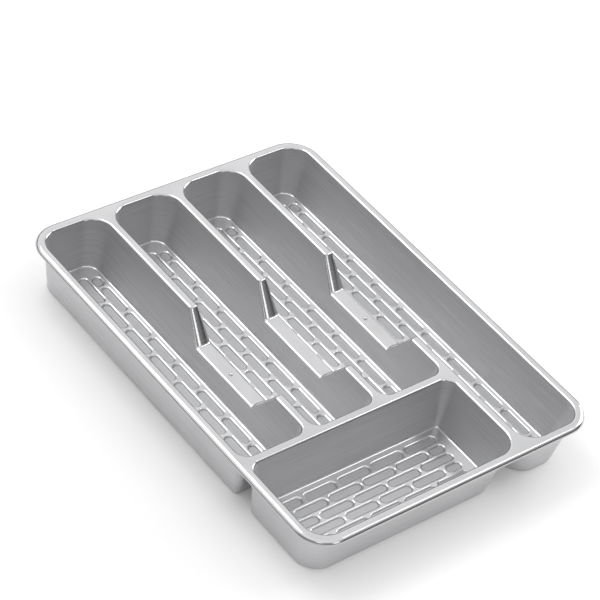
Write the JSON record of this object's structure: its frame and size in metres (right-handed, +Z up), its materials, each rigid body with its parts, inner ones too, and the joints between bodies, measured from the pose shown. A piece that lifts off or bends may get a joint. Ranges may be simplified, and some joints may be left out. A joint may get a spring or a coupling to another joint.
{
  "type": "cutlery tray",
  "caption": "Flat drawer tray for cutlery with short lanes, a full-length lane and a crosswise front tub, finger dips in the dividers and brick-patterned floors.",
  "frame": {"origin": "centre of the footprint, on the surface that the tray stands on", "axes": "+X to the right across the lanes, +Y to the back along the lanes, +Z up"},
  "size_m": [0.294, 0.402, 0.05],
  "materials": {
    "silver_plastic": "satin silver metallic, faint lengthwise brush lines"
  },
  "bodies": {
    "root": {"rim_frame": "silver_plastic", "lane_1_walls": "silver_plastic", "lane_1_floor": "silver_plastic", "lane_2_walls": "silver_plastic", "lane_2_floor": "silver_plastic", "lane_3_walls": "silver_plastic", "lane_3_floor": "silver_plastic", "long_lane_walls": "silver_plastic", "long_lane_floor": "silver_plastic", "front_tub_walls": "silver_plastic", "front_tub_floor": "silver_plastic", "saddle_1": "silver_plastic", "saddle_2": "silver_plastic", "saddle_3": "silver_plastic"}
  },
  "joints": []
}
